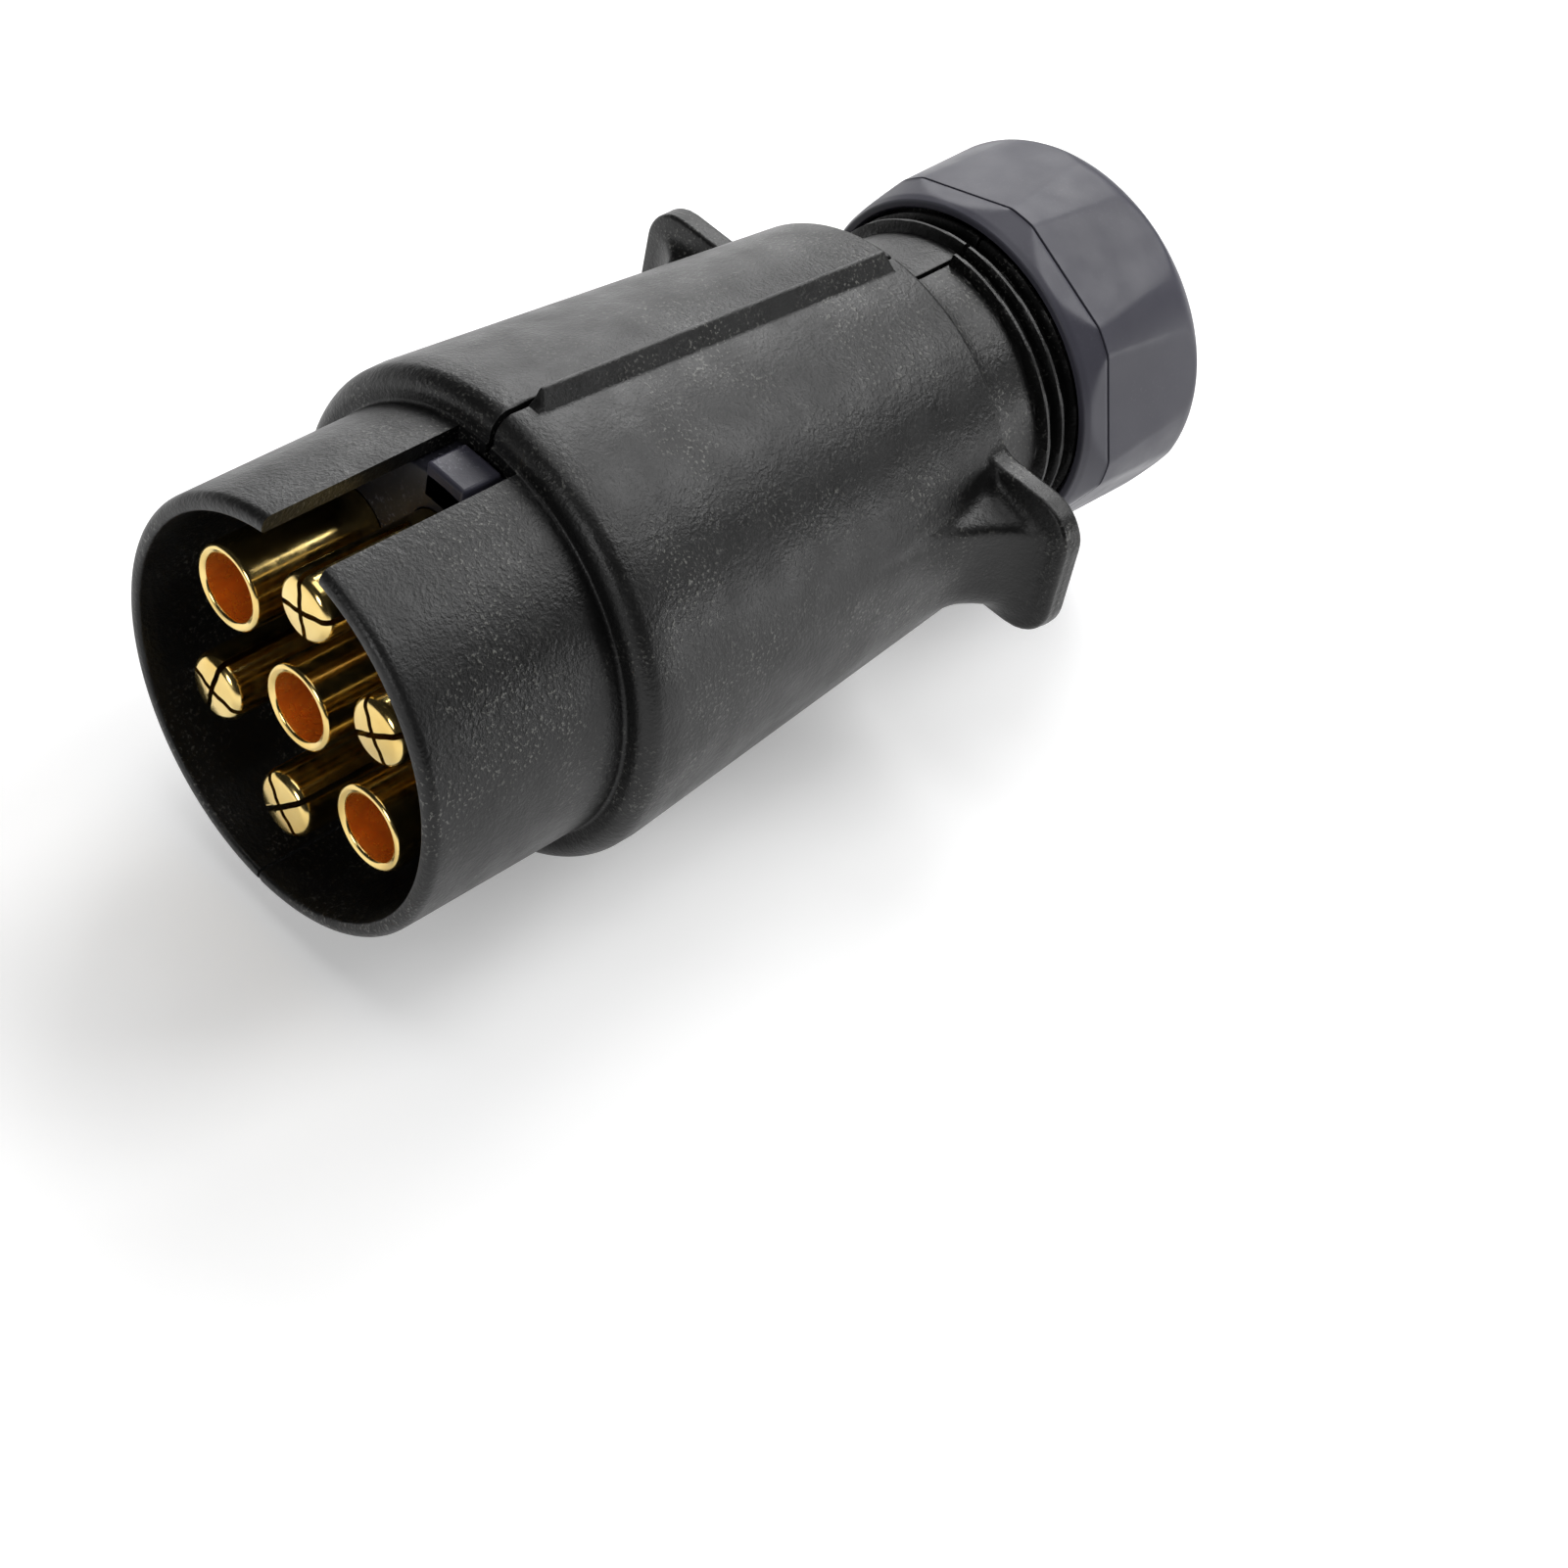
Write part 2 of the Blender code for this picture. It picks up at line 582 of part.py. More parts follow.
def make_carrier(plastic):
    outline = [
        (0.0, CARRIER_DEPTH),
        (CARRIER_R - 0.4 * MM, CARRIER_DEPTH),
        (CARRIER_R, CARRIER_DEPTH + 0.4 * MM),
        (CARRIER_R, CARRIER_FLANGE_Y),
        (CARRIER_FLANGE_R, CARRIER_FLANGE_Y),
        (CARRIER_FLANGE_R, CARRIER_REAR_Y),
        (CARRIER_REAR_R, CARRIER_REAR_Y),
        (CARRIER_REAR_R, CARRIER_END_Y),
        (0.0, CARRIER_END_Y),
    ]
    carrier = turned("contact_carrier", outline)
    half = KEY_BLOCK_WIDTH / 2
    block = box("key_block", (-half, CARRIER_DEPTH, CARRIER_R - 3 * MM),
                (half, COLLAR_Y - 2 * GAP, KEY_BLOCK_TOP))
    join(carrier, block)
    for name, x, z, _, turn in contact_places():
        radius = (TUBE_R if turn is None else PIN_R) + GAP
        start = (x, CARRIER_DEPTH - MM, z)
        depth = CARRIER_END_Y - CARRIER_DEPTH + 2 * MM
        cut(carrier, rod("hole_" + name, start, (0, 1, 0), depth, radius, SMALL_STEPS))
    return finish(carrier, plastic)


def terminal_end(centre):
    return CARRIER_END_Y + GAP + TERMINAL_LENGTH + (CENTRE_TERMINAL_EXTRA if centre else 0.0)


def screw_station(centre):
    return terminal_end(centre) - WIRE_HOLE_DEPTH / 2


def make_contact(name, x, z, outward, turn, brass):
    """One contact: its mating end, the seat ring behind the carrier, and its terminal."""
    centre = name.endswith("centre")
    end = terminal_end(centre)
    seat = CARRIER_END_Y + GAP
    radius = TUBE_R if turn is None else PIN_R
    if turn is None:
        front = [(0.0, TUBE_TIP + TUBE_DEPTH), (TUBE_BORE_R, TUBE_TIP + TUBE_DEPTH),
                 (TUBE_BORE_R, TUBE_TIP + 0.3 * MM), (TUBE_BORE_R + 0.3 * MM, TUBE_TIP),
                 (TUBE_R - 0.2 * MM, TUBE_TIP), (TUBE_R, TUBE_TIP + 0.2 * MM)]
    else:
        front = [(0.0, PIN_TIP), (PIN_R - PIN_TIP_BEVEL, PIN_TIP),
                 (PIN_R - 0.3 * PIN_TIP_BEVEL, PIN_TIP + 0.35 * PIN_TIP_BEVEL),
                 (PIN_R, PIN_TIP + PIN_TIP_BEVEL)]
    rear = [(radius, seat), (SEAT_RING_R, seat), (SEAT_RING_R, seat + SEAT_RING_THICKNESS),
            (TERMINAL_R, seat + SEAT_RING_THICKNESS), (TERMINAL_R, end - 0.3 * MM),
            (TERMINAL_R - 0.3 * MM, end), (WIRE_HOLE_R, end),
            (WIRE_HOLE_R, end - WIRE_HOLE_DEPTH), (0.0, end - WIRE_HOLE_DEPTH)]
    contact = turned(name, front + rear, steps=SMALL_STEPS, location=(x, 0, z))
    side = Vector(outward)
    middle = Vector((x, screw_station(centre), z))
    hole = rod("screw_hole_" + name, middle, side, TERMINAL_R + MM, SCREW_R + GAP)
    cut(contact, hole)
    if turn is not None:
        for quarter in (0, 90):
            slit = box("slit", (-PIN_R - MM, -MM, -PIN_SLIT_WIDTH / 2),
                       (PIN_R + MM, PIN_TIP + PIN_SLIT_DEPTH, PIN_SLIT_WIDTH / 2))
            slit.data.transform(Matrix.Rotation(-math.radians(turn + quarter), 4, "Y"))
            slit.location = (x, 0, z)
            cut(contact, slit)
    return finish(contact, brass)


def make_screw(name, x, z, outward, centre, steel):
    """A cheese-head terminal screw that points at its contact's wire hole."""
    under_head = TERMINAL_R + SCREW_STANDOFF
    top = under_head + SCREW_HEAD_HEIGHT
    outline = [
        (0.0, SCREW_TIP), (SCREW_R, SCREW_TIP), (SCREW_R, under_head), (SCREW_HEAD_R, under_head),
        (SCREW_HEAD_R, top - 0.25 * MM), (SCREW_HEAD_R - 0.25 * MM, top), (0.0, top),
    ]
    screw = turned(name, outline, steps=SCREW_STEPS)
    notch = box("driver_slot", (-5 * MM, top - SCREW_SLOT, -SCREW_SLOT / 2),
                (5 * MM, top + MM, SCREW_SLOT / 2))
    cut(screw, notch)
    turn = Vector((0, 1, 0)).rotation_difference(Vector(outward)).to_matrix().to_4x4()
    screw.data.transform(turn)
    screw.location = (x, screw_station(centre), z)
    return finish(screw, steel)


# ---- gland: nut, washer and grommet ------------------------------------------------------------------
def make_nut(plastic):
    chamfer_end = NUT_Y + NUT_CHAMFER_LENGTH
    rear = arc((NUT_CORNER_R - NUT_REAR_ROUND, NUT_REAR_Y - NUT_REAR_ROUND), NUT_REAR_ROUND, 0, 90, 5)
    outline = [
        (NUT_BORE_R + 0.25 * MM, NUT_Y),
        (NUT_FRONT_R, NUT_Y),
        (NUT_CORNER_R, chamfer_end),
        *rear,
        (NUT_OPENING_R + 0.6 * MM, NUT_REAR_Y),
        (NUT_OPENING_R, NUT_REAR_Y - 0.6 * MM),
        (NUT_OPENING_R, NUT_INNER_END_Y),
        (NUT_CHAMBER_R, NUT_INNER_END_Y),
        (NUT_CHAMBER_R, NUT_THREAD_END_Y),
        (NUT_BORE_R, NUT_THREAD_END_Y),
        (NUT_BORE_R, NUT_Y + 0.5 * MM),
    ]
    nut = turned("gland_nut", outline)
    corner = NUT_APOTHEM / math.cos(math.pi / NUT_SIDES)
    flats = rod("nut_flats", (0, NUT_Y - MM, 0), (0, 1, 0), NUT_LENGTH + 2 * MM, corner, NUT_SIDES)
    to_flat = flat_direction(flats)
    flats.data.transform(Matrix.Rotation(to_flat - NUT_TURN, 4, "Y"))
    combine(nut, flats, "INTERSECT")
    ridge = thread_ridge("nut_thread", NUT_BORE_R, NECK_R + GAP, nut_thread_start(),
                         NUT_THREAD_LENGTH, 0.5)
    join(nut, ridge)
    return finish(nut, plastic)


def nut_thread_start():
    """The first place in the nut where its ridge falls between the neck's ridges."""
    pitches = math.floor((NUT_THREAD_Y - THREAD_Y) / THREAD_PITCH)
    return THREAD_Y + pitches * THREAD_PITCH


def flat_direction(prism):
    """Angle, seen from the front, of the middle of one of a prism's side faces."""
    sides = [face for face in prism.data.polygons if abs(face.normal.y) < 0.5]
    return math.atan2(sides[0].normal.z, sides[0].normal.x)


def make_ring(plastic):
    outline = [
        (RING_BORE_R, RING_Y), (RING_R - 0.3 * MM, RING_Y), (RING_R, RING_Y + 0.3 * MM),
        (RING_R, RING_Y + RING_THICKNESS),
        (RING_BORE_R, RING_Y + RING_THICKNESS),
    ]
    return finish(turned("pressure_ring", outline), plastic)


def make_grommet(rubber):
    outline = [
        (CABLE_R, GROMMET_Y), (GROMMET_R - GROMMET_NOSE_DROP, GROMMET_Y),
        (GROMMET_R, GROMMET_Y + GROMMET_NOSE),
        (GROMMET_R, GROMMET_END_Y), (CABLE_R + MM, GROMMET_END_Y), (CABLE_R, GROMMET_END_Y - MM),
    ]
    return finish(turned("cable_grommet", outline, steps=32), rubber)


def main():
    start_scene()
    shell_plastic = make_material("shell_plastic", (0.030, 0.031, 0.032), 0.55)
    nut_plastic = make_material("nut_plastic", (0.060, 0.059, 0.070), 0.40)
    carrier_plastic = make_material("carrier_plastic", (0.012, 0.012, 0.015), 0.45)
    ring_plastic = make_material("ring_plastic", (0.45, 0.45, 0.43), 0.50)
    rubber = make_material("grommet_rubber", (0.020, 0.020, 0.020), 0.80)
    brass = make_material("contact_brass", (0.83, 0.62, 0.24), 0.22, 1.0)
    steel = make_material("screw_steel", (0.62, 0.61, 0.58), 0.30, 1.0)
    make_shells(shell_plastic)
    make_carrier(carrier_plastic)
    for name, x, z, outward, turn in contact_places():
        make_contact(name, x, z, outward, turn, brass)
        screw_name = name.replace("contact", "screw").replace("split_pin", "pin_screw")
        make_screw(screw_name, x, z, outward, name.endswith("centre"), steel)
    make_nut(nut_plastic)
    make_ring(ring_plastic)
    make_grommet(rubber)
    bpy.context.view_layer.update()


main()
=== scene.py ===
"""The looks of the seven-pin trailer plug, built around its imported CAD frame.

Every visible piece is a fine mesh that stands for one CAD node. A round piece is a grid of
rows (places along the axis) and columns (directions round it), and a moulded shape on it,
such as an ear, a rib or a thread, is worked out as the distance from the axis at which a
ray leaves the shape. Lengths are in millimetres until a mesh is made.
"""
import math

import bmesh
import bpy
import numpy as np
from mathutils import Matrix, Vector


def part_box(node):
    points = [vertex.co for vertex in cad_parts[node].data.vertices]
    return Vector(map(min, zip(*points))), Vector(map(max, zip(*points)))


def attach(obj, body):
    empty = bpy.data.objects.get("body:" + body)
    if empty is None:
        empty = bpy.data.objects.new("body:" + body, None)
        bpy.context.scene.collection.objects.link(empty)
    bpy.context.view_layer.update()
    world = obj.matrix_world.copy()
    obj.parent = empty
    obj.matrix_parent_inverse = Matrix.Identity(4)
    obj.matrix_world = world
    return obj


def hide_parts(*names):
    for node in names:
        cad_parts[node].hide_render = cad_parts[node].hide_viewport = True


MM = 0.001

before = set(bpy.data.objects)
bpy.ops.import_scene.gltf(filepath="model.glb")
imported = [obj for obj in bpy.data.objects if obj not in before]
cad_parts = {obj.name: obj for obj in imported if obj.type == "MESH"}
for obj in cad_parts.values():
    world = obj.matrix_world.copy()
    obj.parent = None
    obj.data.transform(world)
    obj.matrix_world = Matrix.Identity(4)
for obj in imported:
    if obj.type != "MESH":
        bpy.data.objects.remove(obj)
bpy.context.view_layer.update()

# ---- sizes, in millimetres; a station is a distance behind the mating rim ---------------
SEAM_HALF = 0.15                     # half the gap between the shells
COLLAR_GAP_HALF, NECK_GAP_HALF = 0.28, 0.24     # the same gap where it gapes open
SHROUD_R, SHROUD_BORE_R = 20.5, 18.9
COLLAR_Y, CREST_Y, BODY_REAR_Y = 21.2, 24.6, 70.2
COLLAR_R = 23.45
BODY_TAPER = 0.084
SLOT_HALF, SLOT_END_Y = 3.7, 20.9

EAR_HALF_SPAN, EAR_HALF_HEIGHT = 28.0, 7.7
EAR_RISE, EAR_CORNER_R = 1.0, 4.2
EAR_Y, EAR_HALF_THICKNESS, EAR_EDGE_R = 69.0, 1.2, 0.45
WEB_LENGTH, WEB_TOP, WEB_BOTTOM = 14.0, 5.4, -5.6
WEB_EAR_MARGIN = 1.4                 # from the web's outermost place to the ear's outer edge
WEB_BLEND, EAR_BLEND, RIB_BLEND = 1.6, 1.3, 0.08        # how far joined shapes flow together

RIB_HEIGHT, RIB_WIDTH, RIB_TOP_WIDTH = 1.55, 2.1, 0.5
RIB_FRONT_Y, RIB_REAR_Y = 25.8, 68.0

NECK_R, NECK_Y, NECK_END_Y = 15.0, 75.4, 88.7
NECK_BORE_R, CABLE_WAY_R = 11.8, 9.8
THREAD_MIDDLE, THREAD_PITCH, THREAD_TURNS, THREAD_DEPTH = 79.2, 2.0, 4, 1.1

NUT_Y, NUT_REAR_Y = 83.2, 100.3
NUT_APOTHEM, NUT_CORNER_R, NUT_SIDES = 17.6, 18.5, 8
NUT_TURN = math.radians(17.3)
NUT_CHAMFER_LENGTH, NUT_GROOVE_DEPTH, NUT_REAR_ROUND = 3.1, 0.22, 3.0
NUT_FLAT_DRAFT = 0.04                # how fast the flats rise out of the nut towards its rear
NUT_BORE_R, NUT_CHAMBER_R, NUT_OPENING_R, NUT_INNER_END_Y = 16.4, 15.5, 7.2, 96.5

RING_R, RING_BORE_R, RING_Y, RING_REAR_Y = 14.9, 5.95, 94.2, 96.2
GROMMET_BORE_R, GROMMET_R, GROMMET_Y, GROMMET_REAR_Y = 4.75, 11.4, 81.9, 93.9

CARRIER_Y, CARRIER_R, CARRIER_REAR_Y = 16.3, 18.6, 30.1
FLANGE_Y, FLANGE_END_Y, FLANGE_R = 22.7, 26.1, 20.5
KEY_HALF_WIDTH, KEY_TOP, KEY_REAR_Y = 2.4, 19.35, 20.6
CONTACT_RING_R, TUBE_R, PIN_R, CONTACT_CLEARANCE = 11.77, 4.14, 3.25, 0.12
TERMINAL_R, WIRE_HOLE_R, WIRE_HOLE_LENGTH = 3.7, 1.9, 8.0
CENTRE_END_Y, OUTER_END_Y, SCREW_BEFORE_END = 50.4, 41.4, 4.0
SLIT_HALF, SLIT_END_Y = 0.28, 13.7
TUBE_ANGLES = (150, -30)
PIN_ANGLES = (90, 30, -90, -150)
PIN_SLIT_TURNS = (15, 35, 46, -10)
SCREW_R, SCREW_CLEARANCE = 1.35, 0.15
SCREW_TIP, SCREW_UNDER_HEAD, SCREW_TOP, SCREW_HEAD_R = 0.9, 4.5, 5.9, 2.3
SCREW_SLOT_HALF, SCREW_SLOT_DEPTH = 0.35, 0.7

plug_rim_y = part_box("shell_right")[0].y
plug_axis_z = (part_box("pressure_ring")[0].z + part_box("pressure_ring")[1].z) / 2


# ---- mesh tools --------------------------------------------------------------------------
def to_world(points):
    """Points (x, station, height over the axis) in millimetres, in the frame's metres."""
    return np.asarray(points) * MM + np.array((0.0, plug_rim_y, plug_axis_z))


def make_object(name, points, faces, body, node=None, smooth_angle=30):
    """A mesh piece that rides on a body, and stands for a CAD node of the same name."""
    mesh = bpy.data.meshes.new(name + "_fine")
    mesh.from_pydata(to_world(points).tolist(), [], faces)
    obj = bpy.data.objects.new(name + "_fine", mesh)
    bpy.context.scene.collection.objects.link(obj)
    bm = bmesh.new()
    bm.from_mesh(mesh)
    bmesh.ops.remove_doubles(bm, verts=bm.verts, dist=0.002 * MM)
    bmesh.ops.recalc_face_normals(bm, faces=bm.faces)
    bm.to_mesh(mesh)
    bm.free()
    shade(obj, smooth_angle)
    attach(obj, body)
    if node:
        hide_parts(node)
    return obj


def shade(obj, angle):
    obj.data.shade_smooth()
    obj.data.set_sharp_from_angle(angle=math.radians(angle))


def grid_faces(rows, columns, closed_rows, closed_columns):
    faces = []
    for i in range(rows if closed_rows else rows - 1):
        for j in range(columns if closed_columns else columns - 1):
            a, b = i * columns + j, i * columns + (j + 1) % columns
            c = ((i + 1) % rows) * columns
            faces.append((a, b, c + (j + 1) % columns, c + j))
    return faces


def turned(name, outline, body, centre=(0.0, 0.0), steps=96, smooth_angle=30):
    """A full turn of a closed (radius, station) outline about an axis along Y."""
    angles = np.linspace(0, 2 * math.pi, steps, endpoint=False)
    points = [(centre[0] + r * math.cos(a), y, centre[1] + r * math.sin(a))
              for r, y in outline for a in angles]
    faces = grid_faces(len(outline), steps, True, True)
    return make_object(name, points, faces, body, name, smooth_angle)


def arc(centre, radius, first, last, count):
    """Points on a circle from one angle to another, in degrees."""
    angles = [math.radians(first + (last - first) * i / count) for i in range(count + 1)]
    return [(centre[0] + radius * math.cos(a), centre[1] + radius * math.sin(a)) for a in angles]


def cut(obj, *cutters):
    """Take the cutters away from a piece for good."""
    for cutter in cutters:
        boolean = obj.modifiers.new("cut", "BOOLEAN")
        boolean.object = cutter
        boolean.operation = "DIFFERENCE"
        boolean.solver = "MANIFOLD"
    bpy.context.view_layer.update()
    graph = bpy.context.evaluated_depsgraph_get()
    mesh = bpy.data.meshes.new_from_object(obj.evaluated_get(graph))
    obj.modifiers.clear()
    obj.data = mesh
    for cutter in cutters:
        bpy.data.objects.remove(cutter)
    return obj


def loose_object(name, bm):
    """A loose object, such as a cutter, from a bmesh drawn in the plug's axes."""
    for vert in bm.verts:
        vert.co = Vector(to_world(vert.co))
    mesh = bpy.data.meshes.new(name)
    bm.to_mesh(mesh)
    bm.free()
    obj = bpy.data.objects.new(name, mesh)
    bpy.context.scene.collection.objects.link(obj)
    return obj


def block(name, low, high, turn=0.0, centre=(0.0, 0.0)):
    """A box in the plug's axes, turned about a line along Y through centre."""
    bm = bmesh.new()
    bmesh.ops.create_cube(bm, size=1.0)
    size = [b - a for a, b in zip(low, high)]
    middle = [(a + b) / 2 for a, b in zip(low, high)]
    bmesh.ops.scale(bm, vec=size, verts=bm.verts)
    bmesh.ops.translate(bm, vec=middle, verts=bm.verts)
    bmesh.ops.rotate(bm, cent=(0, 0, 0), matrix=Matrix.Rotation(turn, 3, "Y"), verts=bm.verts)
    bmesh.ops.translate(bm, vec=(centre[0], 0, centre[1]), verts=bm.verts)
    return loose_object(name, bm)


def polar(angle, radius):
    return radius * math.cos(math.radians(angle)), radius * math.sin(math.radians(angle))


# ---- moulded shapes as signed distances ---------------------------------------------------
def soft_max(a, b, k):
    """The larger of two values, rounded where they are within k of each other."""
    h = np.clip(0.5 + 0.5 * (a - b) / k, 0, 1)
    return b + (a - b) * h + k * h * (1 - h)


def soft_min(a, b, k):
    return -soft_max(-a, -b, k)


def body_radius(y):
    return COLLAR_R - BODY_TAPER * np.maximum(y - CREST_Y, 0)


def ear_distance(x, y, z):
    """Outside distance from both ears, drawn as one wide plate with round corners."""
    dx = np.abs(x) - (EAR_HALF_SPAN - EAR_CORNER_R)
    dz = np.abs(z - EAR_RISE) - (EAR_HALF_HEIGHT - EAR_CORNER_R)
    flat = np.hypot(np.maximum(dx, 0), np.maximum(dz, 0)) + np.minimum(np.maximum(dx, dz), 0)
    flat = flat - EAR_CORNER_R + EAR_EDGE_R
    deep = np.abs(y - EAR_Y) - EAR_HALF_THICKNESS + EAR_EDGE_R
    outside = np.hypot(np.maximum(flat, 0), np.maximum(deep, 0))
    return outside + np.minimum(np.maximum(flat, deep), 0) - EAR_EDGE_R


def web_distance(x, y, z):
    """Outside distance from the hollow-fronted webs that carry the ears."""
    share = np.clip((y - (EAR_Y - WEB_LENGTH)) / WEB_LENGTH, 0, 1)
    root = body_radius(EAR_Y - WEB_LENGTH) - 0.9
    reach = EAR_HALF_SPAN - WEB_EAR_MARGIN - root
    front = np.abs(x) - (root + reach * (0.16 * share + 0.84 * share ** 3.4))
    top = z - WEB_TOP + 0.22 * front
    front = front * 0.75
    bottom = (WEB_BOTTOM - z) * 0.8
    behind = y - EAR_Y
    return soft_max(soft_max(soft_max(front, top, 0.9), bottom, 3.0), behind, 0.2)


def rib_distance(x, y, z):
    """Outside distance from the wedge beside the top seam, which slopes down towards +X."""
    slope = math.atan2(RIB_HEIGHT + 0.4, RIB_WIDTH - RIB_TOP_WIDTH)
    top = z - (body_radius(y) + RIB_HEIGHT)
    side = (x - RIB_TOP_WIDTH) * math.sin(slope) + top * math.cos(slope)
    front = (RIB_FRONT_Y - y) * 0.8 + top * 0.45
    rear = (y - RIB_REAR_Y) * 0.9 + top * 0.3
    wedge = soft_max(soft_max(soft_max(top, side, 0.08), front, 0.15), rear, 0.15)
    return np.maximum(wedge, np.maximum(-1.0 - x, 15.0 - z))


def ray_exit(angle, y, base_r, with_rib):
    """How far from the axis each ray leaves the body with its ears and rib."""
    near = np.full(np.shape(angle), 10.0)
    far = np.full(np.shape(angle), 34.0)
    for _ in range(26):
        r = (near + far) / 2
        x, z = r * np.cos(angle), r * np.sin(angle)
        solid = soft_min(ear_distance(x, y, z), web_distance(x, y, z), WEB_BLEND)
        solid = soft_min(r - base_r, solid, EAR_BLEND)
        if with_rib:
            solid = soft_min(solid, rib_distance(x, y, z), RIB_BLEND)
        inside = solid < 0
        near = np.where(inside, r, near)
        far = np.where(inside, far, r)
    return (near + far) / 2


def ridge_height(turn, y, first_middle):
    """Height of a right-hand thread's ridge; turn is measured from +Z towards +X."""
    height = np.zeros(np.shape(turn))
    for n in range(THREAD_TURNS):
        middle = first_middle + THREAD_PITCH * (n + turn / (2 * math.pi))
        flank = (0.55 - np.abs(y - middle)) / 0.32
        height = np.maximum(height, np.clip(flank, 0, THREAD_DEPTH))
    return height


# ---- the two shells -------------------------------------------------------------------------
def spaced(start, end, step):
    return list(np.linspace(start, end, max(2, int(abs(end - start) / step) + 1)))


def shell_rows():
    """(radius, station, kind) of each row, front to rear outside and back again inside."""
    rows = [(r, y, "plain") for r, y in arc((SHROUD_R - 1.0, 1.0), 1.0, -90, 0, 8)]
    rows += [(SHROUD_R, y, "plain") for y in spaced(1.6, COLLAR_Y - 0.5, 1.2)]
    rows += [(r, y, "plain") for r, y in arc((SHROUD_R + 0.35, COLLAR_Y - 0.35), 0.35, 180, 90, 4)]
    rows += [(r, y, "plain") for r, y in arc((COLLAR_R - 1.9, COLLAR_Y + 1.9), 1.9, -90, -5, 12)]
    stations = spaced(24.0, 25.2, 0.4) + spaced(25.3, 27.2, 0.12) + spaced(27.6, 52.0, 0.9)
    stations += spaced(52.4, 66.2, 0.3) + spaced(66.35, 67.6, 0.12) + spaced(67.65, 68.7, 0.05)
    stations += spaced(68.8, BODY_REAR_Y - 0.55, 0.12)
    rows += [(body_radius(y), y, "moulded") for y in stations]
    rear_r = body_radius(BODY_REAR_Y)
    rows += [(r, y, "moulded") for r, y in arc((rear_r - 0.5, BODY_REAR_Y - 0.5), 0.5, 0, 90, 6)]
    rows += [(r, BODY_REAR_Y, "moulded") for r in (rear_r - 0.7, rear_r - 0.9)]
    shoulder = arc((rear_r - 0.9, NECK_Y), 1.0, -90, -180, 14)
    for r, y in shoulder:
        across = (r - (rear_r - 0.9)) * (rear_r - 0.9 - NECK_R)
        rows.append((rear_r - 0.9 + across, NECK_Y + (y - NECK_Y) * (NECK_Y - BODY_REAR_Y), "rear"))
    rows += [(NECK_R, y, "thread") for y in spaced(NECK_Y + 0.4, NECK_END_Y - 0.8, 0.1)]
    rows += [(NECK_R - 0.8, NECK_END_Y, "plain")]
    inner = [(NECK_BORE_R, NECK_END_Y), (NECK_BORE_R, 76.3), (CABLE_WAY_R, 75.3),
             (CABLE_WAY_R, 74.4), (15.9, 67.8),
             (17.6, 64.8), (20.3, 30.4), (18.6, 30.4), (18.6, 26.4), (20.8, 26.4), (20.8, 22.4),
             (SHROUD_BORE_R, 22.4), (SHROUD_BORE_R, 0.45)]
    rows += [(r, y, "inner") for r, y in inner]
    rows += [(r, y, "inner") for r, y in arc((SHROUD_BORE_R + 0.35, 0.35), 0.35, 180, 270, 4)]
    return rows


SEAM_STEPS = np.concatenate(((0.15, 0.17, 0.22, 0.29, 0.37, 0.44), np.arange(0.5, 2.6, 0.1),
                             (2.8, 3.1)))


def make_shell(name, side):
    """One half of the body. Its columns go from the top seam round to the bottom seam."""
    points = []
    rows = shell_rows()
    middle_columns = 150
    for base_r, y, kind in rows:
        seam_angle = np.arcsin(SEAM_STEPS / base_r)
        first = math.pi / 2 - seam_angle
        middle = np.linspace(first[-1], -first[-1], middle_columns + 2)[1:-1]
        angle = np.concatenate((first, middle, -first[::-1]))
        r = np.full(len(angle), float(base_r))
        if kind == "moulded":
            r = ray_exit(angle, y, base_r, side > 0)
        if kind == "thread":
            turn = math.pi / 2 - angle if side > 0 else 1.5 * math.pi + angle
            r = r + ridge_height(turn, y, THREAD_MIDDLE)
        from_seam = np.abs(r * np.cos(angle)) - SEAM_HALF
        if kind != "inner":
            edge = 0.2 + 0.3 * math.exp(-((y - 24.2) / 1.6) ** 2)
            depth = np.clip(edge - from_seam, 0, edge)
            r = r - (edge - np.sqrt(edge ** 2 - depth ** 2))
        x, z = r * np.cos(angle), r * np.sin(angle)
        for end in (0, -1):
            x[end] = SEAM_HALF
            z[end] = math.copysign(math.sqrt(r[end] ** 2 - SEAM_HALF ** 2), z[end])
        points.append(np.column_stack((side * x, np.full(len(x), y), z)))
    columns = len(points[0])
    faces = grid_faces(len(rows), columns, True, False)
    faces.append([i * columns for i in range(len(rows))])
    faces.append([i * columns + columns - 1 for i in range(len(rows))][::-1])
    shell = make_object(name, np.concatenate(points), faces, "plug_body", name)
    slot = block("slot_cutter", (-SLOT_HALF, -2, 0), (SLOT_HALF, SLOT_END_Y, 24))
    collar_gap = block("collar_gap", (-COLLAR_GAP_HALF, SLOT_END_Y - 1, 19.5),
                       (COLLAR_GAP_HALF, RIB_FRONT_Y + 0.6, 26))
    neck_gap = block("neck_gap", (-NECK_GAP_HALF, BODY_REAR_Y + 1, 12.5), (NECK_GAP_HALF, 82.6, 18))
    cut(shell, slot, collar_gap, neck_gap)
    shade(shell, 30)
    return shell


